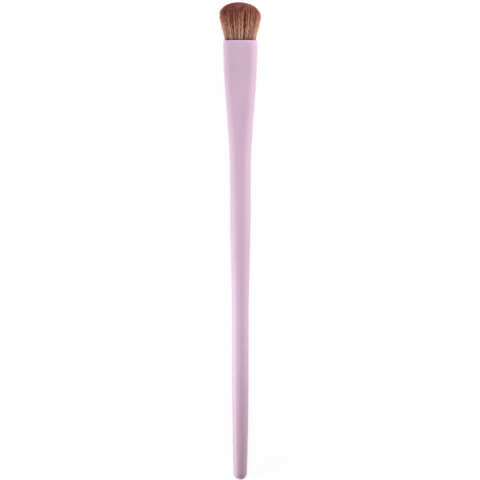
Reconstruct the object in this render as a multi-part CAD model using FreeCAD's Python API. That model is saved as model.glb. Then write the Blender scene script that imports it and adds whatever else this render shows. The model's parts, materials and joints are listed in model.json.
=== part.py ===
"""Eyeshadow brush lying on its flat side: a moulded handle with a knot of bristles glued into its socket.

Sizes are in millimetres. The brush is first modelled along Y: the socket's mouth is at y = 0, the bristles
stand on the +Y side of it and the handle runs to its tail on the -Y side. X is across the flat face and Z is
through the thickness. The finished pieces are then laid down so that the lip of the mouth and the tail both
touch the table at z = 0, with the origin under the middle of the brush.
"""

import FreeCAD, Part
import math
import os

# Driving dimensions of the whole brush
BRUSH_LENGTH = 160.0
BRISTLE_LENGTH = 12.8
HANDLE_LENGTH = BRUSH_LENGTH - BRISTLE_LENGTH

# Handle: distances are measured from the mouth towards the tail
MOUTH_HALF_WIDTH = 5.77
MOUTH_HALF_THICKNESS = 4.35
MOUTH_SQUARENESS = 2.8
LIP_RADIUS = 0.45
FLARE_END = 46.0
NECK_RADIUS = 3.52
NECK_END = 54.0
LAND_START = 95.0
LAND_END = 113.0
LAND_RADIUS = 2.8
TAIL_RADIUS = 2.25
TAIL_TAPER_POWER = 1.7

# Socket moulded into the flare
SOCKET_DEPTH = 13.0
SOCKET_HALF_WIDTH = 5.1
SOCKET_HALF_THICKNESS = 3.6
SOCKET_DRAFT = 0.04
SOCKET_EDGE_ROUND = 0.1

# Free bristles: heights are measured from the mouth towards the tips
BASE_HALF_WIDTH = 5.05
BASE_HALF_THICKNESS = 3.3
SHOULDER_HEIGHT = 7.8
SHOULDER_HALF_WIDTH = 6.85
BELLY_HALF_THICKNESS = 4.35
BRISTLE_SQUARENESS = 2.4
DOME_ROUNDNESS = 2.35
DOME_CLOSURE = 0.99

# Sway of the free bristles about an axis through the flat face, just above the mouth
PIVOT_HEIGHT = 2.5
ROCKER_GAP = 0.15

# Knot below the mouth: roots pinched by a wound thread, their ends cast in resin, potted with adhesive
ROOT_HALF_WIDTH = 4.75
ROOT_HALF_THICKNESS = 3.2
PINCH_HALF_WIDTH = 3.9
PINCH_HALF_THICKNESS = 2.55
BINDING_START = 5.6
BINDING_END = 8.6
BINDING_WALL = 0.5
RESIN_START = 9.1
RESIN_WALL = 0.45
RESIN_FLOOR = 1.2
ROOT_END = 11.0
ADHESIVE_LEVEL = 4.8

# Points that each oval outline is drawn through, and sections that each curved stretch is drawn through
OVAL_POINTS = 24
FLARE_SECTIONS = 7
CURVE_POINTS = 7
FLANK_SECTIONS = 10
DOME_SECTIONS = 8

# Helpers for cutting and for finding edges
FULL_TURN = 360.0
CUTTER_SIZE = 40.0
OVERSHOOT = 1.0
ON_PLANE = 1e-4
JOIN_TOLERANCE = 1e-3
AXIS_ALONG = FreeCAD.Vector(0, 1, 0)
AXIS_THROUGH = FreeCAD.Vector(0, 0, 1)
AXIS_ACROSS = FreeCAD.Vector(1, 0, 0)
ORIGIN = FreeCAD.Vector(0, 0, 0)


def ease(share):
    """Raised cosine: 1 at share 0, 0 at share 1, level at both ends."""
    return (1 + math.cos(math.pi * share)) / 2


def oval(y, half_width, half_thickness, squareness=2.0):
    """Closed superellipse outline across the brush at y. A squareness of 2 is a plain ellipse."""
    points = []
    for i in range(OVAL_POINTS):
        turn = 2 * math.pi * i / OVAL_POINTS
        across = math.cos(turn)
        through = math.sin(turn)
        reach = (abs(across) ** squareness + abs(through) ** squareness) ** (-1 / squareness)
        points.append(FreeCAD.Vector(half_width * reach * across, y, half_thickness * reach * through))
    steps = [i / OVAL_POINTS for i in range(OVAL_POINTS + 1)]
    curve = Part.BSplineCurve()
    curve.interpolate(Points=points, PeriodicFlag=True, Parameters=steps)
    return Part.Wire([curve.toShape()])


def loft(sections, ruled=False):
    """Closed solid through oval sections, each (y, half width, half thickness, squareness)."""
    return Part.makeLoft([oval(*section) for section in sections], True, ruled)


# Handle

def flare_section(distance):
    """Oval of the flare, square-shouldered at the mouth and round where it meets the neck."""
    share = ease(distance / FLARE_END)
    half_width = NECK_RADIUS + (MOUTH_HALF_WIDTH - NECK_RADIUS) * share
    half_thickness = NECK_RADIUS + (MOUTH_HALF_THICKNESS - NECK_RADIUS) * share
    squareness = 2 + (MOUTH_SQUARENESS - 2) * share
    return (-distance, half_width, half_thickness, squareness)


def flare():
    """Upper handle from the mouth to the end of the straight neck."""
    sections = [flare_section(FLARE_END * i / (FLARE_SECTIONS - 1)) for i in range(FLARE_SECTIONS)]
    for distance in ((FLARE_END + NECK_END) / 2, NECK_END):
        sections.append((-distance, NECK_RADIUS, NECK_RADIUS, 2.0))
    return loft(sections)


def profile_curve(start, end, radius_at, start_slope, end_slope):
    """Smooth outline of a turned stretch, with the slopes at which it meets its neighbours."""
    points = []
    for i in range(CURVE_POINTS):
        distance = start + (end - start) * i / (CURVE_POINTS - 1)
        points.append(FreeCAD.Vector(radius_at(distance), -distance, 0))
    curve = Part.BSplineCurve()
    curve.interpolate(
        Points=points,
        InitialTangent=FreeCAD.Vector(start_slope, -1, 0),
        FinalTangent=FreeCAD.Vector(end_slope, -1, 0),
    )
    return curve.toShape()


def shaft():
    """Round handle below the neck: a long taper, a straight land, a shorter taper and a ball end."""
    ball_centre = HANDLE_LENGTH - TAIL_RADIUS
    taper_slope = -(LAND_RADIUS - TAIL_RADIUS) * TAIL_TAPER_POWER / (ball_centre - LAND_END)

    def upper_radius(distance):
        share = ease((distance - NECK_END) / (LAND_START - NECK_END))
        return LAND_RADIUS + (NECK_RADIUS - LAND_RADIUS) * share

    def lower_radius(distance):
        share = ((distance - LAND_END) / (ball_centre - LAND_END)) ** TAIL_TAPER_POWER
        return LAND_RADIUS + (TAIL_RADIUS - LAND_RADIUS) * share

    upper = profile_curve(NECK_END, LAND_START, upper_radius, 0, 0)
    land = Part.LineSegment(
        FreeCAD.Vector(LAND_RADIUS, -LAND_START, 0), FreeCAD.Vector(LAND_RADIUS, -LAND_END, 0)
    ).toShape()
    lower = profile_curve(LAND_END, ball_centre, lower_radius, 0, taper_slope)
    middle = TAIL_RADIUS * math.sqrt(0.5)
    ball = Part.Arc(
        FreeCAD.Vector(TAIL_RADIUS, -ball_centre, 0),
        FreeCAD.Vector(middle, -ball_centre - middle, 0),
        FreeCAD.Vector(0, -HANDLE_LENGTH, 0),
    ).toShape()
    axis = Part.LineSegment(
        FreeCAD.Vector(0, -HANDLE_LENGTH, 0), FreeCAD.Vector(0, -NECK_END, 0)
    ).toShape()
    top = Part.LineSegment(
        FreeCAD.Vector(0, -NECK_END, 0), FreeCAD.Vector(NECK_RADIUS, -NECK_END, 0)
    ).toShape()
    outline = Part.Wire([upper, land, lower, ball, axis, top])
    return Part.Face(outline).revolve(ORIGIN, AXIS_ALONG, FULL_TURN)


def socket(start, end=SOCKET_DEPTH):
    """Space inside the moulded socket between two distances from the mouth, with its draft."""
    sections = []
    for distance in (start, end):
        inset = SOCKET_DRAFT * distance
        sections.append(
            (-distance, SOCKET_HALF_WIDTH - inset, SOCKET_HALF_THICKNESS - inset, MOUTH_SQUARENESS)
        )
    return loft(sections, ruled=True)


def mouth_edges(shape):
    """Edges of a shape that lie wholly in the plane of the mouth."""
    found = []
    for edge in shape.Edges:
        if abs(edge.BoundBox.YMin) < ON_PLANE and abs(edge.BoundBox.YMax) < ON_PLANE:
            found.append(edge)
    return found


def handle():
    """Moulded handle in one piece, with a rounded lip and the socket for the knot."""
    body = flare().fuse([shaft()], JOIN_TOLERANCE)
    body = body.makeFillet(LIP_RADIUS, mouth_edges(body))
    body = body.cut(socket(-OVERSHOOT))
    rim = min(mouth_edges(body), key=lambda edge: edge.BoundBox.XMax)
    return body.makeFillet(SOCKET_EDGE_ROUND, [rim])


# Bristles

def spread_slope():
    """Sideways spread of the outermost bristles for each millimetre of height."""
    return (SHOULDER_HALF_WIDTH - BASE_HALF_WIDTH) / SHOULDER_HEIGHT


def bristle_section(height):
    """Oval through the free bristles: they spread up to the shoulder, then close over in a dome."""
    spread = min(height, SHOULDER_HEIGHT)
    half_width = BASE_HALF_WIDTH + spread_slope() * spread
    swell = math.sin(math.pi / 2 * spread / SHOULDER_HEIGHT)
    half_thickness = BASE_HALF_THICKNESS + (BELLY_HALF_THICKNESS - BASE_HALF_THICKNESS) * swell
    rise = DOME_CLOSURE * max(0.0, height - SHOULDER_HEIGHT) / (BRISTLE_LENGTH - SHOULDER_HEIGHT)
    closing = (1 - rise**DOME_ROUNDNESS) ** (1 / DOME_ROUNDNESS)
    return (height, half_width * closing, half_thickness * closing, BRISTLE_SQUARENESS)


def knuckle_radius():
    """Radius about the sway axis that the outermost bristles are tangent to."""
    slope = spread_slope()
    return (BASE_HALF_WIDTH + slope * PIVOT_HEIGHT) / math.hypot(1, slope)


def cutter_above(height):
    """Large block that holds everything higher than a height."""
    corner = FreeCAD.Vector(-CUTTER_SIZE / 2, height, -CUTTER_SIZE / 2)
    return Part.makeBox(CUTTER_SIZE, CUTTER_SIZE, CUTTER_SIZE, corner)


def knuckle(tangent_height):
    """Round body about the sway axis, as thick as the bristles at the height where they meet it."""
    half_thickness = bristle_section(tangent_height)[2]
    outline = Part.Face(oval(PIVOT_HEIGHT, knuckle_radius(), half_thickness, BRISTLE_SQUARENESS))
    corner = FreeCAD.Vector(0, PIVOT_HEIGHT - CUTTER_SIZE / 2, -CUTTER_SIZE / 2)
    half = outline.common(Part.makeBox(CUTTER_SIZE, CUTTER_SIZE, CUTTER_SIZE, corner)).Faces[0]
    return half.revolve(FreeCAD.Vector(0, PIVOT_HEIGHT, 0), AXIS_THROUGH, FULL_TURN)


def bristle_head():
    """Free length of the bristles, rounded below so that it can sway in the mouth."""
    radius = knuckle_radius()
    tangent_height = PIVOT_HEIGHT - radius * math.sin(math.atan(spread_slope()))
    lowest = PIVOT_HEIGHT - radius
    heights = []
    for i in range(FLANK_SECTIONS):
        heights.append(lowest + (SHOULDER_HEIGHT - lowest) * i / (FLANK_SECTIONS - 1))
    for i in range(1, DOME_SECTIONS + 1):
        share = math.sin(math.pi / 2 * i / DOME_SECTIONS)
        heights.append(SHOULDER_HEIGHT + (BRISTLE_LENGTH - SHOULDER_HEIGHT) * share)
    blank = loft([bristle_section(height) for height in heights])
    return blank.common(knuckle(tangent_height).fuse(cutter_above(tangent_height)))


def rocker_seat():
    """Cylinder about the sway axis that leaves a running gap under the knuckle."""
    centre = FreeCAD.Vector(0, PIVOT_HEIGHT, -CUTTER_SIZE / 2)
    return Part.makeCylinder(knuckle_radius() + ROCKER_GAP, CUTTER_SIZE, centre, AXIS_THROUGH)


def bristle_roots():
    """Anchored length of the bristles, pinched where the thread binds them, seated under the knuckle."""
    sections = [
        (0.0, ROOT_HALF_WIDTH, ROOT_HALF_THICKNESS, BRISTLE_SQUARENESS),
        (-BINDING_START / 2, ROOT_HALF_WIDTH, ROOT_HALF_THICKNESS, BRISTLE_SQUARENESS),
        (-BINDING_START, PINCH_HALF_WIDTH, PINCH_HALF_THICKNESS, BRISTLE_SQUARENESS),
        (-ROOT_END, PINCH_HALF_WIDTH, PINCH_HALF_THICKNESS, BRISTLE_SQUARENESS),
    ]
    return loft(sections, ruled=True).cut(rocker_seat())


# Knot

def sleeve(start, end, wall):
    """Plain oval sleeve round the pinched roots between two distances from the mouth."""
    half_width = PINCH_HALF_WIDTH + wall
    half_thickness = PINCH_HALF_THICKNESS + wall
    sections = [(-distance, half_width, half_thickness, BRISTLE_SQUARENESS) for distance in (start, end)]
    return loft(sections, ruled=True).cut(bristle_roots())


def root_binding_thread():
    """Thread wound tightly round the pinch, its turns touching, as one smooth band."""
    return sleeve(BINDING_START, BINDING_END, BINDING_WALL)


def root_resin_plug():
    """Resin cast round and under the root ends, below the thread."""
    return sleeve(RESIN_START, ROOT_END + RESIN_FLOOR, RESIN_WALL)


def socket_adhesive():
    """Adhesive that fills what the knot leaves of the socket, up to its level below the mouth."""
    filled = socket(ADHESIVE_LEVEL)
    for piece in (bristle_roots(), root_binding_thread(), root_resin_plug()):
        filled = filled.cut(piece)
    return filled


# Laying down and writing out

def rest_tilt():
    """Angle in degrees that brings the underside of the lip and of the ball end level."""
    run = (HANDLE_LENGTH - TAIL_RADIUS) - LIP_RADIUS
    drop = MOUTH_HALF_THICKNESS - LIP_RADIUS
    lean = math.atan2(drop, run)
    closing = math.asin((TAIL_RADIUS - LIP_RADIUS) / math.hypot(run, drop))
    return math.degrees(lean - closing)


def resting_place(pieces):
    """Placement that lays the brush on the table with the origin under its middle."""
    turn = FreeCAD.Rotation(AXIS_ACROSS, rest_tilt())
    turned = [piece.copy() for piece in pieces]
    for piece in turned:
        piece.Placement = FreeCAD.Placement(ORIGIN, turn)
    box = Part.makeCompound(turned).optimalBoundingBox()
    move = FreeCAD.Vector(0, -box.Center.y, -box.ZMin)
    return FreeCAD.Placement(move, turn)


def main():
    """Builds every piece, lays the brush down and writes one STEP file for each piece."""
    pieces = {
        "handle": handle(),
        "bristle_head": bristle_head(),
        "bristle_roots": bristle_roots(),
        "root_binding_thread": root_binding_thread(),
        "root_resin_plug": root_resin_plug(),
        "socket_adhesive": socket_adhesive(),
    }
    place = resting_place(pieces.values())
    os.makedirs("parts", exist_ok=True)
    for name, piece in pieces.items():
        piece.Placement = place
        piece.exportStep(os.path.join("parts", name + ".step"))
        box = piece.optimalBoundingBox()
        print(f"{name}: {len(piece.Solids)} solid, valid {piece.isValid()}, {piece.Volume:.1f} mm3,")
        print(f"  {box.XLength:.2f} x {box.YLength:.2f} x {box.ZLength:.2f} mm")
    pivot = place.multVec(FreeCAD.Vector(0, PIVOT_HEIGHT, 0))
    land = place.multVec(FreeCAD.Vector(0, -(LAND_START + LAND_END) / 2, 0))
    mouth = place.multVec(ORIGIN)
    print(f"rest tilt {rest_tilt():.4f} degrees, mouth {mouth}, sway axis through {pivot}, land {land}")


main()
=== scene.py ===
"""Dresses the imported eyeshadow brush: a satin lilac handle and a domed tuft of brown fibres.

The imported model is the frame. The handle and the tuft are made with Geometry Nodes in place of their
solids, every solid that stays gets a finish made of nodes, and a white floor, soft lamps and a camera
complete the scene. All lengths are in metres.
"""

import json
import logging
import math
from dataclasses import dataclass, field, fields
from enum import Enum
from typing import Any, Union

import bpy
from mathutils import Matrix, Vector


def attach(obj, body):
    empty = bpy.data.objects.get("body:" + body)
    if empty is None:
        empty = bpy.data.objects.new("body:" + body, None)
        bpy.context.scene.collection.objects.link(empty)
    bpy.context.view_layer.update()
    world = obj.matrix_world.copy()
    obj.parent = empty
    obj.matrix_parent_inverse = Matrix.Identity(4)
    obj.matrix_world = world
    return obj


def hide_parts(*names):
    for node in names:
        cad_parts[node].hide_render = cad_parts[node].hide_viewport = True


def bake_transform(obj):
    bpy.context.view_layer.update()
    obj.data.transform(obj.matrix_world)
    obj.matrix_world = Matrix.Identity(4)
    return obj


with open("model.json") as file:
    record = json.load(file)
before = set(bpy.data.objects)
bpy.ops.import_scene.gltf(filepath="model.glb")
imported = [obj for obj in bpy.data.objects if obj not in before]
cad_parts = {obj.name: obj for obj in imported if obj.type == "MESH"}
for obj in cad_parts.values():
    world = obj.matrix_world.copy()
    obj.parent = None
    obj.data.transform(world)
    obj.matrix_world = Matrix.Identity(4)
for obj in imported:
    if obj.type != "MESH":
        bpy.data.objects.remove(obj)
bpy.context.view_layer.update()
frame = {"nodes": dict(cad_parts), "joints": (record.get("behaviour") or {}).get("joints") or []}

MM = 0.001
FULL_TURN = 2.0 * math.pi
GOLDEN_TURN = math.pi * (3.0 - math.sqrt(5.0))
PIVOT_HEIGHT = 2.5 * MM
TUFT_MIDDLE = (0.0, 0.0775, 0.005)
WHITE = (1.0, 1.0, 1.0, 1.0)
HALVES = ("Half Width", "Half Thickness")

log = logging.getLogger("eyeshadow_brush")

Operand = Union["Wire", float, int, bool, str, tuple, bpy.types.Material]
Colour = tuple[float, float, float]
Point = tuple[float, float, float]
Span = tuple[float, float]
Numbers = dict[str, float | int]


def linear(colour: Colour) -> tuple[float, float, float, float]:
    """Turns an 8-bit sRGB colour into the linear colour that a shader socket holds.

    Args:
        colour: red, green and blue from 0 to 255.

    Returns:
        The linear colour with an alpha of 1.
    """
    shares = [part / 255.0 for part in colour]
    parts = [s / 12.92 if s <= 0.04045 else ((s + 0.055) / 1.055) ** 2.4 for s in shares]
    return (parts[0], parts[1], parts[2], 1.0)


def numbers_of(*owners: Any) -> Numbers:
    """Gives the numbers that some dataclasses hold, by the names that a node tree's inputs have.

    Args:
        owners: the dataclasses.

    Returns:
        The values of their number fields, such as Lip Height for lip_height.
    """
    found: Numbers = {}
    for owner in owners:
        for item in fields(owner):
            if item.type in (int, float):
                found[item.name.replace("_", " ").title()] = getattr(owner, item.name)
    return found


class Wire:
    """A value that leaves a node, with sums that add the Math nodes they need."""

    def __init__(self, graph: "Graph", socket: bpy.types.NodeSocket) -> None:
        """Keeps the node tree's writer and the socket that the value leaves by."""
        self.graph = graph
        self.socket = socket

    def __add__(self, other: Operand) -> "Wire":
        """The sum."""
        return self.graph.math("ADD", self, other)

    def __radd__(self, other: Operand) -> "Wire":
        """The sum, from the right."""
        return self.graph.math("ADD", other, self)

    def __sub__(self, other: Operand) -> "Wire":
        """The difference."""
        return self.graph.math("SUBTRACT", self, other)

    def __rsub__(self, other: Operand) -> "Wire":
        """The difference, from the right."""
        return self.graph.math("SUBTRACT", other, self)

    def __mul__(self, other: Operand) -> "Wire":
        """The product."""
        return self.graph.math("MULTIPLY", self, other)

    def __rmul__(self, other: Operand) -> "Wire":
        """The product, from the right."""
        return self.graph.math("MULTIPLY", other, self)

    def __truediv__(self, other: Operand) -> "Wire":
        """The quotient."""
        return self.graph.math("DIVIDE", self, other)

    def __rtruediv__(self, other: Operand) -> "Wire":
        """The quotient, from the right."""
        return self.graph.math("DIVIDE", other, self)

    def __pow__(self, other: Operand) -> "Wire":
        """The power."""
        return self.graph.math("POWER", self, other)


class Graph:
    """Writes nodes and links into one node tree, for shaders and geometry alike."""

    def __init__(self, tree: bpy.types.NodeTree) -> None:
        """Starts with no group inputs.

        Args:
            tree: the tree that the nodes go into.
        """
        self.tree = tree
        self.identifiers: dict[str, str] = {}
        self.entry: bpy.types.Node | None = None

    def node(self, kind: str, **settings: Any) -> bpy.types.Node:
        """Adds a node.

        Args:
            kind: the node's type.
            settings: properties of the node and their values.

        Returns:
            The new node.
        """
        made = self.tree.nodes.new(kind)
        for name, value in settings.items():
            setattr(made, name, value)
        return made

    def feed(self, socket: bpy.types.NodeSocket, value: Operand) -> None:
        """Links a wire to a socket, or sets the socket to a plain value.

        Args:
            socket: the input to feed.
            value: the wire or the plain value.
        """
        if isinstance(value, Wire):
            self.tree.links.new(value.socket, socket)
        else:
            socket.default_value = value

    def make(self, kind: str, inputs: dict[Any, Operand], output: Any = 0, **settings: Any) -> Wire:
        """Adds a node with its inputs fed.

        Args:
            kind: the node's type.
            inputs: values by the socket's name or number.
            output: the name or number of the output to give back.
            settings: properties of the node and their values.

        Returns:
            The chosen output.
        """
        made = self.node(kind, **settings)
        for key, value in inputs.items():
            self.feed(made.inputs[key], value)
        return Wire(self, made.outputs[output])

    def math(self, operation: str, *operands: Operand) -> Wire:
        """Adds a Math node of that operation."""
        return self.make("ShaderNodeMath", dict(enumerate(operands)), operation=operation)

    def line(self, value: Operand, low: Operand, high: Operand, top: float = 1.0) -> Wire:
        """Rises evenly from 0 at low to top at high, and stays there."""
        return self.make("ShaderNodeMapRange", {0: value, 1: low, 2: high, 3: 0.0, 4: top})

    def ease(self, value: Operand, low: Operand, high: Operand) -> Wire:
        """Rises smoothly from 0 at low to 1 at high."""
        inputs = {0: value, 1: low, 2: high, 3: 0.0, 4: 1.0}
        return self.make("ShaderNodeMapRange", inputs, interpolation_type="SMOOTHSTEP")

    def between(self, share: Wire, low: float, high: float) -> Wire:
        """Turns a share from 0 to 1 into a value from low to high."""
        return share * (high - low) + low

    def vector(self, x: Operand, y: Operand, z: Operand) -> Wire:
        """Joins three values into a vector."""
        return self.make("ShaderNodeCombineXYZ", {0: x, 1: y, 2: z})

    def parts(self, vector: Wire) -> tuple[Wire, Wire, Wire]:
        """Splits a vector.

        Args:
            vector: the vector to split.

        Returns:
            Its three values.
        """
        made = self.node("ShaderNodeSeparateXYZ")
        self.feed(made.inputs[0], vector)
        return tuple(Wire(self, made.outputs[i]) for i in range(3))

    def noise(self, vector: Wire, scale: Operand, detail: float) -> Wire:
        """Adds a noise texture and gives its value, from 0 to 1."""
        return self.make("ShaderNodeTexNoise", {"Vector": vector, "Scale": scale, "Detail": detail})

    def bump(self, height: Wire, depth: float) -> Wire:
        """Adds a bump of that depth and gives its normal."""
        return self.make("ShaderNodeBump", {"Height": height, "Distance": depth, "Strength": 1.0})

    def tint(self, shade: Wire, colour: list[Operand]) -> Wire:
        """Multiplies the three parts of a linear colour by a shade."""
        return self.vector(*[shade * part for part in colour])

    def input(self, name: str, kind: str = "NodeSocketFloat") -> Wire:
        """Adds a named input to the tree.

        Args:
            name: the input's name.
            kind: the socket's type.

        Returns:
            The value that the input brings in.
        """
        item = self.tree.interface.new_socket(name=name, in_out="INPUT", socket_type=kind)
        self.identifiers[name] = item.identifier
        if self.entry is None:
            self.entry = self.tree.nodes.new("NodeGroupInput")
        return Wire(self, self.entry.outputs[item.identifier])

    def inputs(self, numbers: Numbers) -> dict[str, Wire]:
        """Adds a named input for each number, whole or not."""
        kinds = {int: "NodeSocketInt", float: "NodeSocketFloat"}
        return {name: self.input(name, kinds[type(value)]) for name, value in numbers.items()}

    def output(self, name: str, kind: str, value: Wire) -> None:
        """Adds a named output to the tree and feeds it.

        Args:
            name: the output's name.
            kind: the socket's type.
            value: what the output gives.
        """
        item = self.tree.interface.new_socket(name=name, in_out="OUTPUT", socket_type=kind)
        found = [n for n in self.tree.nodes if n.bl_idname == "NodeGroupOutput"]
        leave = found[0] if found else self.tree.nodes.new("NodeGroupOutput")
        self.feed(leave.inputs[item.identifier], value)


class Slot(Enum):
    """The record's material slots that the scene's own pieces use."""

    PLASTIC = "lilac_plastic"
    BRISTLE = "brown_bristle"


class Body(Enum):
    """The bodies that the sway hinge joins."""

    HANDLE = "handle_body"
    TUFT = "tuft"


class SharedDraw(Enum):
    """Seed offsets of the draws that all layers share, so that a strand runs on from one to the next."""

    STRAND_PLACES = 0.0
    STRAND_TONE = 1.0
    STRAND_PULL = 2.0
    LOCK_WAVE_LENGTH = 3.0
    STRAND_PHASE = 4.0
    LOCK_PHASE = 5.0
    LOCK_STIR = 6.0
    STRAND_LEAN = 8.0
    STRAND_TIP = 9.0
    STRAND_SHADE = 10.0
    LOCK_PLACES = 20.0


class OwnDraw(Enum):
    """Seed offsets of the draws that each layer makes for its own fibres."""

    FIBRE_TONE = 2.0
    FIBRE_PHASE = 7.0
    FIBRE_TIP = 11.0
    FIBRE_STRAY = 13.0


def grain_group() -> bpy.types.ShaderNodeTree:
    """Builds the fine grain that the moulded and cast finishes share.

    Returns:
        A group that gives a height for bump and a slow drift of shade, both about 0.5 in the middle.
    """
    fine_share, coarse_share, coarse_pitch = 0.7, 0.3, 0.23
    tree = bpy.data.node_groups.new("fine_grain", "ShaderNodeTree")
    g = Graph(tree)
    place = g.input("Place", "NodeSocketVector")
    pitch = g.input("Grain Scale")
    cloud = g.input("Cloud Scale")
    fine = g.noise(place, pitch, detail=3.0)
    coarse = g.noise(place, pitch * coarse_pitch, detail=2.0)
    g.output("Height", "NodeSocketFloat", fine * fine_share + coarse * coarse_share)
    g.output("Drift", "NodeSocketFloat", g.noise(place, cloud, detail=2.0))
    return tree


class Finish:
    """What every finish does: make its material once, from its own values."""

    name: str

    def begin(self) -> tuple[Graph, bpy.types.Node, Wire]:
        """Starts a material with a Principled BSDF.

        Returns:
            The graph, the shader node and the object coordinates.
        """
        material = bpy.data.materials.new(self.name)
        material.use_nodes = True
        graph = Graph(material.node_tree)
        shader = material.node_tree.nodes["Principled BSDF"]
        place = graph.make("ShaderNodeTexCoord", {}, "Object")
        return graph, shader, place

    def material(self) -> bpy.types.Material:
        """Gives the finish's material, made at the first call."""
        return bpy.data.materials.get(self.name) or self.mix()

    def mix(self) -> bpy.types.Material:
        """Makes the material."""
        raise NotImplementedError


@dataclass(frozen=True)
class GrainedFinish(Finish):
    """A moulded or cast surface: a colour that drifts slightly, over a fine grain.

    Where a shaded tail colour is given, the colour passes into it along the brush, from fade_start to
    fade_end: painted shade that darkens the handle towards its tail.
    """

    name: str
    colour: Colour
    # painted shade: a darker colour that the handle passes into towards its tail
    shaded_tail_colour: Colour | None = None
    fade_start: float = -35.0 * MM
    fade_end: float = -77.0 * MM
    drift: float = 0.05
    roughness: float = 0.50
    roughness_drift: float = 0.10
    sheen: float = 0.0
    sheen_roughness: float = 0.4
    grain_scale: float = 5200.0
    cloud_scale: float = 130.0
    grain_height: float = 0.004 * MM

    def pigment(self, g: Graph, place: Wire) -> list[Operand]:
        """The plain colour's three parts, which darken along the brush with painted shade where there is a
        shaded tail colour.

        Args:
            g: the material's writer.
            place: the object coordinates.

        Returns:
            Red, green and blue.
        """
        start = linear(self.colour)[:3]
        if self.shaded_tail_colour is None:
            return list(start)
        _, along, _ = g.parts(place)
        share = g.line(along, self.fade_start, self.fade_end)
        return [share * (last - first) + first for first, last in zip(start, linear(self.shaded_tail_colour))]

    def mix(self) -> bpy.types.Material:
        """Makes the material: base colour, roughness and bump all follow the grain.

        Returns:
            The new material.
        """
        g, shader, place = self.begin()
        tree = bpy.data.node_groups.get("fine_grain") or grain_group()
        grain = g.node("ShaderNodeGroup", node_tree=tree)
        g.feed(grain.inputs["Place"], place)
        g.feed(grain.inputs["Grain Scale"], self.grain_scale)
        g.feed(grain.inputs["Cloud Scale"], self.cloud_scale)
        height = Wire(g, grain.outputs["Height"])
        drift = Wire(g, grain.outputs["Drift"])
        shade = (drift - 0.5) * (2.0 * self.drift) + (height - 0.5) * self.drift + 1.0
        rough = (drift - 0.5) * self.roughness_drift + (height - 0.5) * self.roughness_drift
        g.feed(shader.inputs["Base Color"], g.tint(shade, self.pigment(g, place)))
        g.feed(shader.inputs["Roughness"], rough + self.roughness)
        g.feed(shader.inputs["Sheen Weight"], self.sheen)
        g.feed(shader.inputs["Sheen Roughness"], self.sheen_roughness)
        g.feed(shader.inputs["Normal"], g.bump(height, self.grain_height))
        return bpy.data.materials[self.name]


@dataclass(frozen=True)
class ThreadFinish(Finish):
    """Waxed thread wound close round the roots."""

    name: str
    colour: Colour
    turn_pitch: float = 0.35 * MM
    turn_height: float = 0.10 * MM
    ply_scale: float = 2600.0
    ply_slant: float = 5.0
    mean_shade: float = 0.95
    painted_groove_shade: float = 0.10
    ply_shade: float = 0.25
    roughness: float = 0.6
    roughness_drift: float = 0.2
    turn_share: float = 0.5
    ply_share: float = 0.3

    def mix(self) -> bpy.types.Material:
        """Makes the material: rounded turns along the brush, with painted shade in the grooves between them,
        and twisted plies across them.

        Returns:
            The new material.
        """
        g, shader, place = self.begin()
        across, along, thick = g.parts(place)
        turn = g.math("SINE", along * (FULL_TURN / self.turn_pitch))
        ply = g.noise(g.vector(across, along * self.ply_slant, thick), self.ply_scale, detail=2.0)
        # painted shade: the colour darkens in the grooves between turns
        shade = turn * self.painted_groove_shade + (ply - 0.5) * self.ply_shade + self.mean_shade
        height = turn * self.turn_share + ply * self.ply_share
        g.feed(shader.inputs["Base Color"], g.tint(shade, linear(self.colour)[:3]))
        g.feed(shader.inputs["Roughness"], ply * self.roughness_drift + self.roughness)
        g.feed(shader.inputs["Normal"], g.bump(height, self.turn_height))
        return bpy.data.materials[self.name]


@dataclass(frozen=True)
class FibreShade:
    """The darkest and the lightest fibre at one height, a share of the free length."""

    height: float
    dark: Colour
    light: Colour


@dataclass(frozen=True)
class BristleFinish(Finish):
    """Fine synthetic fibre: tan where it leaves the mouth, red brown from the shoulder to the tips, and
    darker right at the mouth with painted shade.
    """

    name: str
    shades: tuple[FibreShade, ...]
    roughness: float = 0.44
    roughness_drift: float = 0.16
    specular: float = 0.2

    def ramp(self, g: Graph, height: Wire, colours: list[Colour]) -> Wire:
        """Adds a colour ramp over the height.

        Args:
            g: the material's writer.
            height: the height as a share of the free length.
            colours: one colour for each of the finish's shades.

        Returns:
            The colour at that height.
        """
        made = g.node("ShaderNodeValToRGB")
        g.feed(made.inputs[0], height)
        marks = made.color_ramp.elements
        while len(marks) < len(colours):
            marks.new(0.5)
        for mark, shade, colour in zip(marks, self.shades, colours):
            mark.position = shade.height
            mark.color = linear(colour)
        return Wire(g, made.outputs[0])

    def mix(self) -> bpy.types.Material:
        """Makes the material from the attributes that the tuft's tree leaves on its fibres.

        Returns:
            The new material.
        """
        g, shader, _ = self.begin()
        height, tone, fibre = (
            g.make("ShaderNodeAttribute", {}, "Fac", attribute_name=name)
            for name in ("height_share", "shade_tone", "fibre_tone")
        )
        dark = self.ramp(g, height, [shade.dark for shade in self.shades])
        light = self.ramp(g, height, [shade.light for shade in self.shades])
        tint = g.make("ShaderNodeMix", {0: tone, 6: dark, 7: light}, 2, data_type="RGBA")
        g.feed(shader.inputs["Base Color"], tint)
        g.feed(shader.inputs["Roughness"], (fibre - 0.5) * self.roughness_drift + self.roughness)
        g.feed(shader.inputs["Specular IOR Level"], self.specular)
        return bpy.data.materials[self.name]


@dataclass(frozen=True)
class FibreLayer:
    """One layer of the tuft, between two rings that are shares of the way out from its middle."""

    name: str
    inner_ring: float
    outer_ring: float
    fibres: int
    segments: int
    seed: int
    strand_pull: float = 0.4
    wave_height: float = 0.12 * MM
    wave_length: float = 5.0 * MM


@dataclass(frozen=True)
class Wave:
    """One wave in a fibre's path: its swing and its pace, across the brush and through it."""

    across: float
    across_pace: float
    through: float
    through_pace: float


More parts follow.
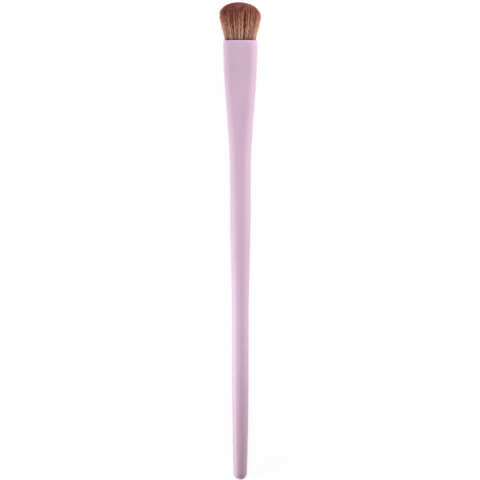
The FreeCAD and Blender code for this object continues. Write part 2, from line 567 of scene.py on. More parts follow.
@dataclass(frozen=True)
class FibreRules:
    """Where each rule of the tuft sets in, and how much it weighs.

    A span of height is in shares of the free length, a span of line in shares of the free part of one
    fibre, and a span of ring in shares of the way out from the tuft's middle.
    """

    scatter: float = 0.6
    scatter_turn: float = 0.9
    swell_scale: float = 2.2
    tip_power: float = 2.0
    rim_power: float = 3.0
    skew_power: float = 1.3
    gather_height: Span = (-0.35, 0.12)
    parting_line: Span = (0.8, 1.0)
    parting: float = 0.6
    pull_range: Span = (0.6, 1.4)
    clump_height: Span = (-0.04, 0.09)
    unclump_height: Span = (0.12, 0.6)
    stray_height: Span = (0.1, 0.6)
    stray_power: float = 8.0
    wave_height: Span = (0.0, 0.3)
    stir_range: Span = (0.5, 1.5)
    wave_length_range: Span = (0.7, 1.3)
    lock_wave: Wave = Wave(0.5, 1.0, 0.4, 0.9)
    strand_wave: Wave = Wave(0.9, 1.4, 0.5, 1.1)
    fibre_wave: Wave = Wave(0.4, 1.3, 0.4, 1.2)
    wave_flatness: float = 0.7
    skin_ring: Span = (0.82, 0.95)
    gap_line: Span = (0.5, 0.8)
    # how strongly painted shade darkens the gaps under the skin
    painted_gap_shade: float = 0.9
    # painted glints: their step between strands, their scale and their weight in the tone
    painted_glint_step: float = 3.7
    painted_glint_scale: float = 2.4
    strand_weight: float = 0.65
    painted_glint_weight: float = 0.9
    fibre_weight: float = 0.25
    # where the painted light on the tuft's sides sets in
    side_light_ring: Span = (0.75, 1.0)
    tone_range: Span = (0.3, 0.75)
    taper_line: Span = (0.45, 1.0)
    taper: float = 0.72
    fibre_sides: int = 3


class FibreTree:
    """Writes the node tree that grows one layer of the tuft, rule by rule.

    A fibre has a place in an oval of unit half-size. It belongs to the nearest strand, and that to the
    nearest lock. A point on it has a share of the free part above the mouth, a height, and a rise, which is
    the height's share of the free length.
    """

    def __init__(self, numbers: Numbers, rules: FibreRules) -> None:
        """Opens the tree with its named inputs, and finds what every rule reads.

        Args:
            numbers: the tuft's and a layer's numbers, for the names and kinds of the inputs.
            rules: where the tuft's rules set in.
        """
        self.g = Graph(bpy.data.node_groups.new("tuft_layer", "GeometryNodeTree"))
        self.g.tree.is_modifier = True
        self.size = self.g.inputs(numbers)
        self.paint = self.g.input("Finish", "NodeSocketMaterial")
        self.rules = rules
        self.fibre = self.g.make("GeometryNodeCurveOfPoint", {}, "Curve Index")
        layer = [self.size[name] for name in ("Fibres", "Inner Ring", "Outer Ring", "Seed")]
        self.ring, *self.place = self.spiral(self.fibre, *layer)
        self.strand, *self.strand_place = self.group("Strands", SharedDraw.STRAND_PLACES, *self.place)
        self.lock, *self.lock_place = self.group("Locks", SharedDraw.LOCK_PLACES, *self.strand_place)
        self.strand_tone = self.chance(self.strand, SharedDraw.STRAND_TONE)
        self.above, self.height = self.reach()
        self.rise = self.height / self.size["Free Length"]

    def chance(self, key: Wire, draw: SharedDraw | OwnDraw) -> Wire:
        """A random value from 0 to 1 for each key, from the seed that the draw belongs to."""
        seed = self.size["Lock Seed" if isinstance(draw, SharedDraw) else "Seed"] + draw.value
        return self.g.make("FunctionNodeRandomValue", {2: 0.0, 3: 1.0, "ID": key, "Seed": seed}, 1)

    def spiral(
        self, index: Wire, count: Wire, inner: Operand, outer: Operand, seed: Wire
    ) -> tuple[Wire, Wire, Wire]:
        """Spreads points evenly over an oval of unit half-size, in a sunflower's order.

        Args:
            index: the point's number.
            count: how many points there are.
            inner: the ring where the points start, from 0 to 1.
            outer: the ring where they end.
            seed: the seed of the scatter.

        Returns:
            The point's ring, and its two coordinates in the oval.
        """
        g, rules, square = self.g, self.rules, self.size["Squareness"]
        inputs = {2: -rules.scatter, 3: rules.scatter, "ID": index, "Seed": seed}
        scatter = g.make("FunctionNodeRandomValue", inputs, 1)
        share = g.math("MINIMUM", (index + 0.5 + scatter) / count, 1.0)
        ring = (inner * inner + (outer * outer - inner * inner) * g.math("MAXIMUM", share, 0.0)) ** 0.5
        turn = index * GOLDEN_TURN + scatter * rules.scatter_turn
        cosine = g.math("COSINE", turn)
        sine = g.math("SINE", turn)
        spread = g.math("ABSOLUTE", cosine) ** square + g.math("ABSOLUTE", sine) ** square
        reach = ring * spread ** (-1.0 / square)
        return ring, reach * cosine, reach * sine

    def group(self, count: str, draw: SharedDraw, x: Wire, z: Wire) -> tuple[Wire, Wire, Wire]:
        """Finds the nearest of some evenly spread groups.

        Args:
            count: the name of the input that says how many groups there are.
            draw: the draw that scatters them.
            x: the place in the oval, across the brush.
            z: the place in the oval, through the brush.

        Returns:
            The group's number, and the two coordinates of its middle.
        """
        g, many = self.g, self.size[count]
        number = g.make("GeometryNodeInputIndex", {})
        _, to_x, to_z = self.spiral(number, many, 0.0, 1.0, self.size["Lock Seed"] + draw.value)
        spots = g.make("GeometryNodePoints", {"Count": many, "Position": g.vector(to_x, to_z, 0.0)})
        near = {"Geometry": spots, "Sample Position": g.vector(x, z, 0.0)}
        nearest = g.make("GeometryNodeSampleNearest", near)
        here = g.make("GeometryNodeInputPosition", {})
        found = {"Geometry": spots, "Value": here, "Index": nearest}
        middle = g.make("GeometryNodeSampleIndex", found, data_type="FLOAT_VECTOR")
        middle_x, middle_z, _ = g.parts(middle)
        return nearest, middle_x, middle_z

    def tip(self) -> Wire:
        """Ends the fibres on a dome that is ragged by a little and lower at one side.

        Returns:
            The height of the fibre's tip above the mouth.
        """
        g, size, rules = self.g, self.size, self.rules
        across, thick = self.place
        dome = size["Dome Roundness"]
        fall = g.math("MAXIMUM", 1.0 - self.ring ** dome, 0.0) ** (1.0 / dome)
        tip = size["Shoulder Height"] + (size["Free Length"] - size["Shoulder Height"]) * fall
        swell = g.noise(g.vector(across, thick, 0.0), rules.swell_scale, detail=1.0)
        short = self.chance(self.fibre, OwnDraw.FIBRE_TIP) ** rules.tip_power
        tip = tip + ((swell - 0.5) - short) * size["Tip Ragged"]
        step = self.chance(self.strand, SharedDraw.STRAND_TIP) - 0.5
        tip = tip + step * self.ring ** rules.rim_power * size["Strand Ragged"]
        return tip - g.math("MAXIMUM", across, 0.0) ** rules.skew_power * size["Crown Skew"]

    def reach(self) -> tuple[Wire, Wire]:
        """Runs the line's first share down into the socket, and the rest from the mouth to the tip.

        Returns:
            The share of the free part above the mouth, and the height.
        """
        g, size = self.g, self.size
        along = g.make("GeometryNodeSplineParameter", {}, "Index") / size["Segments"]
        hidden = size["Hidden Share"]
        below = g.math("MAXIMUM", hidden - along, 0.0) / hidden
        above = g.math("MAXIMUM", along - hidden, 0.0) / (1.0 - hidden)
        return above, self.tip() * above - size["Root Depth"] * below

    def halves(self) -> list[Wire]:
        """Flares the tuft in a straight line from the mouth to a rounded shoulder.

        Returns:
            The half width and the half thickness at the point's height.
        """
        g, size = self.g, self.size
        flare = g.math("SMOOTH_MIN", self.height, size["Shoulder Height"], size["Shoulder Round"])
        flare = g.math("MAXIMUM", flare, size["Pinch Depth"] * -1.0) / size["Shoulder Height"]
        pairs = [(size[f"Mouth {half}"], size[f"Shoulder {half}"]) for half in HALVES]
        return [mouth + (shoulder - mouth) * flare for mouth, shoulder in pairs]

    def drawn(self) -> list[Wire]:
        """Draws fibres together into strands, and strands into locks near the mouth. They part at the tips.

        Returns:
            The point's place in the oval, across the brush and through it.
        """
        g, size, rules = self.g, self.size, self.rules
        gather = g.ease(self.rise, *rules.gather_height)
        gather = gather * (1.0 - g.ease(self.above, *rules.parting_line) * rules.parting)
        firm = g.between(self.chance(self.strand, SharedDraw.STRAND_PULL), *rules.pull_range)
        pull = size["Strand Pull"] * gather * firm
        clump = size["Lock Pull"] * g.ease(self.rise, *rules.clump_height)
        clump = clump * (1.0 - g.ease(self.rise, *rules.unclump_height))
        lift = (self.strand_tone - 0.5) * 2.0 * size["Strand Raise"] * gather + 1.0
        stray = self.chance(self.fibre, OwnDraw.FIBRE_STRAY) ** rules.stray_power
        lift = lift + stray * size["Stray Spread"] * g.ease(self.rise, *rules.stray_height)
        return [
            (own + (strand - own) * pull + (lock - strand) * clump) * lift
            for own, strand, lock in zip(self.place, self.strand_place, self.lock_place)
        ]

    def waved(self, x: Wire, z: Wire) -> tuple[Wire, Wire]:
        """Waves each lock as a whole, and each strand and fibre a little on its own. Strands lean too.

        Args:
            x: the point's place across the brush.
            z: the point's place through the brush.

        Returns:
            The waved place, across the brush and through it.
        """
        g, size, rules = self.g, self.size, self.rules
        stir = g.ease(self.rise, *rules.wave_height)
        stir = stir * g.between(self.chance(self.lock, SharedDraw.LOCK_STIR), *rules.stir_range)
        stretch = g.between(self.chance(self.lock, SharedDraw.LOCK_WAVE_LENGTH), *rules.wave_length_range)
        pace = self.height * FULL_TURN / (size["Wave Length"] * stretch)
        swings_x, swings_z = [], []
        for wave, key, draw in (
            (rules.lock_wave, self.lock, SharedDraw.LOCK_PHASE),
            (rules.strand_wave, self.strand, SharedDraw.STRAND_PHASE),
            (rules.fibre_wave, self.fibre, OwnDraw.FIBRE_PHASE),
        ):
            phase = self.chance(key, draw) * FULL_TURN
            swings_x.append(g.math("SINE", pace * wave.across_pace + phase) * wave.across)
            swings_z.append(g.math("COSINE", pace * wave.through_pace + phase) * wave.through)
        sway_x, sway_z = (first + second + third for first, second, third in (swings_x, swings_z))
        tilt = (self.chance(self.strand, SharedDraw.STRAND_LEAN) - 0.5) * size["Strand Lean"]
        lean = tilt * g.math("MAXIMUM", self.height, 0.0)
        x = x + sway_x * stir * size["Wave Height"] + lean
        z = z + sway_z * stir * size["Wave Height"] * rules.wave_flatness
        return x, z

    def tone(self, across: Wire, fibre_tone: Wire) -> Wire:
        """Shades the fibres: by strand, by painted glints along it, with painted shade in the gaps under the
        skin and painted light towards the sides.

        Args:
            across: the point's place in the oval, across the brush.
            fibre_tone: the fibre's own random tone.

        Returns:
            The tone, from 0 for the darkest shade to 1 for the lightest.
        """
        g, size, rules = self.g, self.size, self.rules
        # painted shade: fibres below the skin darken in the gaps, less towards their tips
        under = (1.0 - g.ease(self.ring, *rules.skin_ring)) * (1.0 - g.ease(self.above, *rules.gap_line))
        # painted highlight: glints that come and go along each strand
        track = g.vector(self.strand * rules.painted_glint_step, self.height / size["Wave Length"], 0.0)
        painted_glint = g.noise(track, rules.painted_glint_scale, detail=2.0)
        tone = self.strand_tone * rules.strand_weight + (painted_glint - 0.5) * rules.painted_glint_weight
        tone = tone + fibre_tone * rules.fibre_weight
        # painted light: fibres towards the tuft's sides are lighter
        side = g.ease(g.math("ABSOLUTE", across), *rules.side_light_ring)
        side_lit_tone = g.ease(tone + side * size["Side Bleach"], *rules.tone_range)
        return side_lit_tone * (1.0 - under * rules.painted_gap_shade)

    def write(self) -> Graph:
        """Copies one straight line for each fibre, bends it by the rules and gives it a body.

        Returns:
            The tree's writer, which knows the identifiers of its inputs.
        """
        g, size, rules = self.g, self.size, self.rules
        line = g.make("GeometryNodeCurvePrimitiveLine", {"End": (0.0, 1.0, 0.0)})
        line = g.make("GeometryNodeResampleCurve", {"Curve": line, "Count": size["Segments"] + 1.0})
        copies = {"Geometry": line, "Amount": size["Fibres"]}
        fibres = g.make("GeometryNodeDuplicateElements", copies, domain="SPLINE")

        half_width, half_thickness = self.halves()
        across, thick = self.drawn()
        x, z = self.waved(across * half_width, thick * half_thickness)
        spot = g.vector(x, self.height, z)
        fibres = g.make("GeometryNodeSetPosition", {"Geometry": fibres, "Position": spot})

        fibre_tone = self.chance(self.fibre, OwnDraw.FIBRE_TONE)
        # per strand, moves the height on the ramp: it breaks the painted shade at the mouth into spots and
        # varies where tan turns red brown
        shift = (self.chance(self.strand, SharedDraw.STRAND_SHADE) - 0.5) * size["Shade Shift"]
        for name, value in (
            ("height_share", self.rise + shift),
            ("shade_tone", self.tone(across, fibre_tone)),
            ("fibre_tone", fibre_tone),
        ):
            stored = {"Geometry": fibres, "Name": name, "Value": value}
            fibres = g.make("GeometryNodeStoreNamedAttribute", stored, data_type="FLOAT", domain="POINT")

        radius = (1.0 - g.ease(self.above, *rules.taper_line) * rules.taper) * size["Fibre Radius"]
        circle = {"Resolution": rules.fibre_sides, "Radius": 1.0}
        profile = g.make("GeometryNodeCurvePrimitiveCircle", circle)
        body = {"Curve": fibres, "Profile Curve": profile, "Scale": radius, "Fill Caps": True}
        whole = g.make("GeometryNodeCurveToMesh", body)
        whole = g.make("GeometryNodeSetShadeSmooth", {"Geometry": whole, "Shade Smooth": True})
        whole = g.make("GeometryNodeRealizeInstances", {"Geometry": whole})
        whole = g.make("GeometryNodeSetMaterial", {"Geometry": whole, "Material": self.paint})
        g.output("Fibres", "NodeSocketGeometry", whole)
        return g


@dataclass
class Tuft:
    """The tuft: fibres that leave the oval mouth in a straight flare and end in a dome.

    Its numbers and its layers' are inputs of its node tree, under the same names. Its bend field holds two
    places in the mouth's own axes, which nothing here reads.
    """

    finish: BristleFinish
    layers: tuple[FibreLayer, ...]
    rules: FibreRules = FibreRules()
    free_length: float = 12.8 * MM
    root_depth: float = 10.8 * MM
    pinch_depth: float = 5.2 * MM
    mouth_half_width: float = 5.06 * MM
    mouth_half_thickness: float = 3.53 * MM
    shoulder_height: float = 8.0 * MM
    shoulder_half_width: float = 6.80 * MM
    shoulder_half_thickness: float = 4.36 * MM
    shoulder_round: float = 1.6 * MM
    squareness: float = 2.8
    dome_roundness: float = 2.35
    tip_ragged: float = 0.45 * MM
    strand_ragged: float = 0.5 * MM
    crown_skew: float = 0.9 * MM
    strand_lean: float = 0.05
    strand_raise: float = 0.035
    lock_pull: float = 0.15
    stray_spread: float = 0.05
    shade_shift: float = 0.10
    # painted light on the tuft's sides
    side_bleach: float = 0.30
    locks: int = 100
    strands: int = 2000
    lock_seed: int = 43
    fibre_radius: float = 0.044 * MM
    hidden_share: float = 0.2
    bend: tuple[Point, Point] = ((0.0, 0.0, 0.0), (0.0, 9.5 * MM, 0.0))
    pieces: list[bpy.types.Object] = field(default_factory=list)

    def build(self, place: Matrix) -> None:
        """Grows every layer, and makes each one a plain mesh in the frame.

        Args:
            place: the matrix from the mouth's own axes to the frame.
        """
        graph = FibreTree(numbers_of(self, self.layers[0]), self.rules).write()
        for layer in self.layers:
            values = {**numbers_of(self, layer), "Finish": self.finish.material()}
            piece = grow(layer.name, graph, values)
            piece.data.transform(place)
            self.pieces.append(piece)

    def dress(self, place: Matrix) -> None:
        """Bakes each layer's place into its mesh, and hides the solids that they stand for.

        Args:
            place: the matrix from the mouth's own axes to the frame; not used.
        """
        for piece in self.pieces:
            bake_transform(piece)
            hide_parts("bristle_head", "bristle_roots")
            log.info("%s: %d faces", piece.name, len(piece.data.polygons))


def mouth_place() -> Matrix:
    """Finds the mouth from the sway hinge.

    Returns:
        The matrix from the mouth's own axes, across, along and through the brush, to the frame.
    """
    joint = frame["joints"][0]
    across = Vector((1.0, 0.0, 0.0))
    through = Vector(joint["axis"]).normalized()
    along = through.cross(across)
    origin = Vector(joint["pos_m"]) - along * PIVOT_HEIGHT
    turn = Matrix((across, along, through)).transposed()
    return Matrix.Translation(origin) @ turn.to_4x4()


def grow(name: str, graph: Graph, values: dict[str, Any]) -> bpy.types.Object:
    """Runs a geometry tree and keeps its result as a plain mesh.

    Args:
        name: the piece's name.
        graph: the tree's writer.
        values: the tree's inputs by name.

    Returns:
        An object at the origin with no modifier left.
    """
    piece = bpy.data.objects.new(name, bpy.data.meshes.new(name))
    bpy.context.scene.collection.objects.link(piece)
    modifier = piece.modifiers.new("grow", "NODES")
    modifier.node_group = graph.tree
    for key, value in values.items():
        modifier[graph.identifiers[key]] = value
    depsgraph = bpy.context.evaluated_depsgraph_get()
    mesh = bpy.data.meshes.new_from_object(piece.evaluated_get(depsgraph))
    piece.modifiers.remove(modifier)
    piece.data = mesh
    mesh.name = name
    return piece


@dataclass
class Handle:
    """The handle: one moulding from an oval lip, through a round neck, to a ball-ended tail.

    Its numbers are inputs of its node tree, under the same names. The socket is rolled from a sheet of its
    own: its first row is the rim, then the wall runs down from wall_start to wall_end, shares of the sheet,
    and the last row closes in the middle of the floor. Those two rows lie within row_margin of its ends.
    """

    finish: Finish
    inner_finishes: dict[str, Finish]
    length: float = 147.2 * MM
    mouth_half_width: float = 5.77 * MM
    mouth_half_thickness: float = 4.35 * MM
    mouth_squareness: float = 2.8
    lip_height: float = 0.75 * MM
    lip_depth: float = 0.32 * MM
    flare_end: float = 46.0 * MM
    neck_radius: float = 3.52 * MM
    neck_end: float = 54.0 * MM
    land_start: float = 95.0 * MM
    land_end: float = 113.0 * MM
    land_radius: float = 2.8 * MM
    tail_radius: float = 2.25 * MM
    tail_taper_power: float = 1.7
    socket_depth: float = 13.0 * MM
    socket_half_width: float = 5.1 * MM
    socket_half_thickness: float = 3.6 * MM
    socket_draft: float = 0.04
    wall_start: float = 0.06
    wall_end: float = 0.9
    row_margin: float = 0.01
    crease_angle: float = math.radians(45.0)
    columns: int = 96
    skin_rows: int = 150
    socket_rows: int = 16
    weld: float = 0.0005 * MM
    piece: bpy.types.Object | None = None

    @staticmethod
    def fade(g: Graph, value: Wire, start: Operand, end: Operand) -> Wire:
        """Falls from 1 at start to 0 at end as a raised cosine does."""
        return g.math("COSINE", g.line(value, start, end, math.pi)) * 0.5 + 0.5

    @staticmethod
    def quarter(g: Graph, share: Wire) -> Wire:
        """Falls from 1 at a share of 0 to 0 at a share of 1, as a quarter of a circle does."""
        return g.math("MAXIMUM", 1.0 - share * share, 0.0) ** 0.5

    @staticmethod
    def sheet(g: Graph, columns: Wire, rows: Wire) -> tuple[Wire, Wire, Wire]:
        """Adds a flat grid to be rolled up.

        Args:
            g: the tree's writer.
            columns: faces round the handle.
            rows: vertices along it.

        Returns:
            The grid, the turn round the axis in radians, and the share of the way along.
        """
        inputs = {"Size X": 1.0, "Size Y": 1.0, "Vertices X": columns + 1.0, "Vertices Y": rows}
        grid = g.make("GeometryNodeMeshGrid", inputs)
        across, along, _ = g.parts(g.make("GeometryNodeInputPosition", {}))
        return grid, (across + 0.5) * FULL_TURN, along + 0.5

    @staticmethod
    def oval(g: Graph, turn: Wire, half_width: Wire, half_thickness: Wire, square: Wire) -> tuple[Wire, Wire]:
        """A point on a superellipse.

        Args:
            g: the tree's writer.
            turn: the angle of the point from the middle.
            half_width: the oval's half size across the brush.
            half_thickness: its half size through the brush.
            square: its power, 2 for a plain ellipse.

        Returns:
            The point's place across and through the brush.
        """
        cosine = g.math("COSINE", turn)
        sine = g.math("SINE", turn)
        spread = g.math("ABSOLUTE", cosine) ** square + g.math("ABSOLUTE", sine) ** square
        reach = spread ** (-1.0 / square)
        return half_width * reach * cosine, half_thickness * reach * sine

    def skin(self, g: Graph, size: dict[str, Wire]) -> Wire:
        """Rolls the outside of the handle, from the lip to the ball end.

        Args:
            g: the tree's writer.
            size: the tree's number inputs by name.

        Returns:
            The rolled grid.
        """
        grid, turn, along = self.sheet(g, size["Columns"], size["Skin Rows"])
        down = (1.0 - g.math("COSINE", along * math.pi)) * 0.5 * size["Length"]
        open_share = self.fade(g, down, 0.0, size["Flare End"])
        upper_share = self.fade(g, down, size["Neck End"], size["Land Start"])
        ball_start = size["Length"] - size["Tail Radius"]
        lower_share = g.line(down, size["Land End"], ball_start) ** size["Tail Taper Power"]
        radius = size["Land Radius"] + (size["Neck Radius"] - size["Land Radius"]) * upper_share
        radius = radius + (size["Tail Radius"] - size["Land Radius"]) * lower_share
        ball = self.quarter(g, g.line(down, ball_start, size["Length"]))
        rise = g.math("MAXIMUM", 1.0 - down / size["Lip Height"], 0.0)
        inset = size["Lip Depth"] * (1.0 - self.quarter(g, rise))
        halves = [
            (radius + (size[f"Mouth {half}"] - size["Neck Radius"]) * open_share) * ball - inset
            for half in HALVES
        ]
        square = (size["Mouth Squareness"] - 2.0) * open_share + 2.0
        x, z = self.oval(g, turn, *halves, square)
        return g.make("GeometryNodeSetPosition", {"Geometry": grid, "Position": g.vector(x, down * -1.0, z)})

    def socket(self, g: Graph, size: dict[str, Wire]) -> Wire:
        """Rolls the rim and the socket, from the lip's inner side to the middle of the floor.

        Args:
            g: the tree's writer.
            size: the tree's number inputs by name.

        Returns:
            The rolled grid, with its faces towards the hollow.
        """
        grid, turn, along = self.sheet(g, size["Columns"], size["Socket Rows"])
        rim = g.math("LESS_THAN", along, size["Row Margin"])
        middle = g.math("GREATER_THAN", along, 1.0 - size["Row Margin"])
        depth = g.line(along, size["Wall Start"], size["Wall End"]) * size["Socket Depth"]
        inset = depth * size["Socket Draft"]
        halves = []
        for half in HALVES:
            wall = size[f"Socket {half}"] - inset
            edge = size[f"Mouth {half}"] - size["Lip Depth"]
            halves.append((wall + (edge - wall) * rim) * (1.0 - middle))
        x, z = self.oval(g, turn, *halves, size["Mouth Squareness"])
        spot = g.vector(x, depth * -1.0, z)
        rolled = g.make("GeometryNodeSetPosition", {"Geometry": grid, "Position": spot})
        return g.make("GeometryNodeFlipFaces", {"Mesh": rolled})

    def tree(self) -> Graph:
        """Builds the node tree that rolls the handle from two flat grids.

        Returns:
            The tree's writer, which knows the identifiers of its inputs.
        """
        g = Graph(bpy.data.node_groups.new("handle_moulding", "GeometryNodeTree"))
        g.tree.is_modifier = True
        size = g.inputs(numbers_of(self))
        paint = g.input("Finish", "NodeSocketMaterial")
        join = g.node("GeometryNodeJoinGeometry")
        g.feed(join.inputs[0], self.skin(g, size))
        g.feed(join.inputs[0], self.socket(g, size))
        welded = {"Geometry": Wire(g, join.outputs[0]), "Distance": size["Weld"]}
        whole = g.make("GeometryNodeMergeByDistance", welded)
        whole = g.make("GeometryNodeSetShadeSmooth", {"Geometry": whole, "Shade Smooth": True})
        sharp = g.math("GREATER_THAN", g.make("GeometryNodeInputMeshEdgeAngle", {}), size["Crease Angle"])
        crease = {"Geometry": whole, "Selection": sharp, "Shade Smooth": False}
        whole = g.make("GeometryNodeSetShadeSmooth", crease, domain="EDGE")
        whole = g.make("GeometryNodeRealizeInstances", {"Geometry": whole})
        whole = g.make("GeometryNodeSetMaterial", {"Geometry": whole, "Material": paint})
        g.output("Handle", "NodeSocketGeometry", whole)
        return g

    def build(self, place: Matrix) -> None:
        """Makes the handle a plain mesh in the frame.

        Args:
            place: the matrix from the mouth's own axes to the frame.
        """
        values = {**numbers_of(self), "Finish": self.finish.material()}
        self.piece = grow("handle_moulding", self.tree(), values)
        self.piece.data.transform(place)

    def dress(self) -> None:
        """Sets the moulding on its body in place of its solid, and gives each inner solid its material."""
        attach(self.piece, Body.HANDLE.value)
        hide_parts("handle")
        log.info("%s: %d faces", self.piece.name, len(self.piece.data.polygons))
        for node, finish in self.inner_finishes.items():
            solid = frame["nodes"][node]
            solid.data.materials.clear()
            solid.data.materials.append(finish.material())
            log.info("%s: %s", node, finish.name)


@dataclass(frozen=True)
class SoftBox:
    """A flat soft lamp that looks at a point, and that a gloss may mirror or not.

    Its spread is its width and its length, which lies along the brush.
    """

    name: str
    place: Point
    aim: Point
    spread: Span
    power: float
    mirrored: bool = True

    def build(self) -> None:
        """Adds the lamp."""
        lamp = bpy.data.lights.new(self.name, "AREA")
        lamp.shape = "RECTANGLE"
        lamp.size, lamp.size_y = self.spread
        lamp.energy = self.power
        holder = bpy.data.objects.new(self.name, lamp)
        holder.location = self.place
        back = Vector(self.place) - Vector(self.aim)
        side = Vector((0.0, 1.0, 0.0)).cross(back).normalized()
        up = back.normalized().cross(side)
        holder.rotation_mode = "QUATERNION"
        holder.rotation_quaternion = Matrix((side, up, back.normalized())).transposed().to_quaternion()
        holder.visible_glossy = self.mirrored
        bpy.context.scene.collection.objects.link(holder)


@dataclass(frozen=True)
class TuftSpot:
    """A lamp with a soft-edged round beam on the tuft."""

    name: str
    place: Point
    power: float
    beam_radius: float = 0.011
    lamp_radius: float = 0.005

    def build(self) -> None:
        """Adds the lamp, with a beam of that radius where it aims."""
        lamp = bpy.data.lights.new(self.name, "SPOT")
        back = Vector(self.place) - Vector(TUFT_MIDDLE)
        lamp.spot_size = 2.0 * math.atan(self.beam_radius / back.length)
        lamp.spot_blend = 1.0
        lamp.shadow_soft_size = self.lamp_radius
        lamp.energy = self.power
        holder = bpy.data.objects.new(self.name, lamp)
        holder.location = self.place
        holder.rotation_mode = "QUATERNION"
        holder.rotation_quaternion = back.to_track_quat("Z", "Y")
        bpy.context.scene.collection.objects.link(holder)


@dataclass
class Studio:
    """A white floor, a pale surround, soft lamps and the camera over the brush."""

    lamps: tuple[SoftBox | TuftSpot, ...]
    floor_half: float = 3.0
    floor_glow: float = 0.80
    floor_white: float = 1.06
    floor_colour: tuple[float, float, float, float] = (0.9, 0.9, 0.9, 1.0)
    surround: float = 0.12
    lens_mm: float = 500.0
    sensor_mm: float = 36.0
    sight: float = 20.0
    frame_width: float = 160.77 * MM
    middle: Point = (-0.10 * MM, 0.30 * MM, 4.0 * MM)

    @staticmethod
    def seen(g: Graph) -> Wire:
        """Tells the rays that show the background from the rays that only light the brush.

        Args:
            g: the writer of a material or the world.

        Returns:
            1 for rays from the camera, from gloss or through glass, and 0 for the rest.
        """
        rays = g.node("ShaderNodeLightPath")
        names = ("Is Camera Ray", "Is Glossy Ray", "Is Transmission Ray")
        camera, gloss, glass = (Wire(g, rays.outputs[name]) for name in names)
        return g.math("MAXIMUM", g.math("MAXIMUM", camera, gloss), glass)

    def build_floor(self) -> None:
        """Lays a white floor that keeps a soft shadow, and is clear when looked at from below."""
        half = self.floor_half
        mesh = bpy.data.meshes.new("floor")
        corners = [(-half, -half, 0.0), (half, -half, 0.0), (half, half, 0.0), (-half, half, 0.0)]
        mesh.from_pydata(corners, [], [(0, 1, 2, 3)])
        floor = bpy.data.objects.new("floor", mesh)
        bpy.context.scene.collection.objects.link(floor)
        material = bpy.data.materials.new("floor_white")
        material.use_nodes = True
        g = Graph(material.node_tree)
        g.tree.nodes.remove(g.tree.nodes["Principled BSDF"])
        matt = g.make("ShaderNodeBsdfDiffuse", {"Color": self.floor_colour})
        glow = g.make("ShaderNodeEmission", {"Color": WHITE, "Strength": self.floor_white})
        share = self.seen(g) * self.floor_glow
        cover = g.make("ShaderNodeMixShader", {0: share, 1: matt, 2: glow})
        below = g.make("ShaderNodeNewGeometry", {}, "Backfacing")
        clear = g.make("ShaderNodeBsdfTransparent", {})
        cover = g.make("ShaderNodeMixShader", {0: below, 1: cover, 2: clear})
        g.feed(g.tree.nodes["Material Output"].inputs["Surface"], cover)
        mesh.materials.append(material)

    def build_surround(self) -> None:
        """Sets the world: white to look at, softer as a light."""
        world = bpy.data.worlds.new("surround")
        world.use_nodes = True
        bpy.context.scene.world = world
        g = Graph(world.node_tree)
        back = g.tree.nodes["Background"]
        g.feed(back.inputs["Color"], WHITE)
        g.feed(back.inputs["Strength"], g.between(self.seen(g), self.surround, 1.0))

    def build_camera(self) -> None:
        """Hangs the camera straight over the brush, with the tuft at the top of the picture."""
        camera = bpy.data.cameras.new("camera")
        camera.lens = self.lens_mm
        camera.sensor_width = self.sensor_mm
        camera.clip_end = self.sight
        holder = bpy.data.objects.new("camera", camera)
        rise = self.frame_width * self.lens_mm / self.sensor_mm
        holder.location = Vector(self.middle) + Vector((0.0, 0.0, rise))
        bpy.context.scene.collection.objects.link(holder)
        bpy.context.scene.camera = holder

    def build(self) -> None:
        """Builds the whole studio."""
        bpy.context.scene.view_settings.view_transform = "Standard"
        self.build_floor()
        self.build_surround()
        self.build_camera()
        for lamp in self.lamps:
            lamp.build()


def lilac_handle() -> Handle:
    """Chooses the handle's finishes.

    Returns:
        The handle, with the solids inside its socket.
    """
    satin = GrainedFinish(
        name="satin_lilac",
        colour=(198, 165, 189),
        # painted shade: the handle's colour darkens towards the tail
        shaded_tail_colour=(173, 138, 160),
        sheen=0.7,
        sheen_roughness=0.5,
    )
    inner_finishes = {
        "root_binding_thread": ThreadFinish(name="waxed_thread", colour=(212, 203, 185)),
        "root_resin_plug": GrainedFinish(name="cast_resin", colour=(178, 152, 106), roughness=0.18),
        "socket_adhesive": GrainedFinish(name="set_adhesive", colour=(158, 127, 84), roughness=0.22),
    }
    return Handle(satin, inner_finishes)


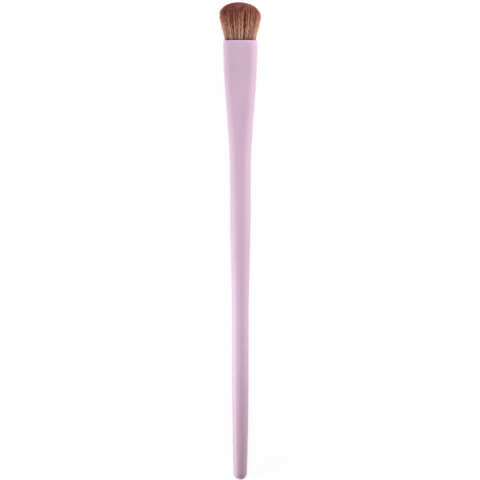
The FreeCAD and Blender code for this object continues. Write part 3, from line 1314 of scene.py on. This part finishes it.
def brown_tuft() -> Tuft:
    """Chooses the tuft's shades and layers.

    Returns:
        The tuft, from its skin to its core.
    """
    shades = (
        # painted shade: the first stop darkens the fibres where they leave the socket's mouth
        FibreShade(0.00, dark=(90, 50, 40), light=(145, 100, 85)),
        FibreShade(0.08, dark=(135, 90, 70), light=(215, 170, 145)),
        FibreShade(0.35, dark=(105, 55, 40), light=(215, 160, 130)),
        FibreShade(0.60, dark=(70, 25, 15), light=(200, 130, 105)),
        FibreShade(0.80, dark=(75, 30, 20), light=(185, 110, 90)),
        FibreShade(1.00, dark=(130, 65, 60), light=(180, 115, 110)),
    )
    skin = FibreLayer(
        "bristles_skin",
        inner_ring=0.93,
        outer_ring=1.0,
        fibres=1300,
        segments=24,
        seed=1,
        strand_pull=0.6,
        wave_length=2.8 * MM,
    )
    layers = (
        skin,
        FibreLayer("bristles_outer", inner_ring=0.78, outer_ring=0.95, fibres=3100, segments=10, seed=2),
        FibreLayer("bristles_middle", inner_ring=0.48, outer_ring=0.80, fibres=3800, segments=8, seed=3),
        FibreLayer("bristles_core", inner_ring=0.0, outer_ring=0.52, fibres=3800, segments=8, seed=4),
    )
    return Tuft(BristleFinish(name="brown_fibre", shades=shades), layers)


def white_studio() -> Studio:
    """Places the lamps: low strips beside the brush, one past its tip, one above, and spots on the tuft.

    Returns:
        The studio round the brush.
    """
    boxes = (
        SoftBox("left_strip", (-0.28, -0.05, 0.045), (0.0, -0.04, 0.0), (0.08, 0.22), power=0.21),
        SoftBox("left_tail_box", (-0.24, -0.10, 0.04), (0.0, -0.07, 0.0), (0.07, 0.10), power=0.50),
        SoftBox("right_box", (0.17, 0.06, 0.09), (0.0, 0.05, 0.0), (0.10, 0.12), power=0.215, mirrored=False),
        SoftBox("right_strip", (0.35, 0.03, 0.06), (0.0, 0.02, 0.0), (0.12, 0.20), power=0.33),
        SoftBox("crown_strip", (0.0, 0.36, 0.07), (0.0, 0.07, 0.0), (0.20, 0.08), power=0.54),
        SoftBox("top_box", (-0.04, -0.02, 0.30), (0.0, -0.01, 0.0), (0.20, 0.20), power=0.43),
    )
    spots = (
        TuftSpot("tuft_spot", (0.03, 0.16, 0.26), power=0.95),
        TuftSpot("left_tuft_spot", (-0.16, 0.11, 0.07), power=1.10),
        TuftSpot("right_tuft_spot", (0.16, 0.11, 0.07), power=0.80),
    )
    return Studio(boxes + spots)


def main() -> None:
    """Builds the brush's looks piece by piece, then the studio round it."""
    logging.basicConfig(level=logging.INFO, format="%(name)s %(message)s")
    place = mouth_place()
    handle = lilac_handle()
    handle.build(place)
    handle.dress()
    tuft = brown_tuft()
    tuft.build(place)
    tuft.dress(place)
    white_studio().build()


if __name__ == "__main__":
    main()
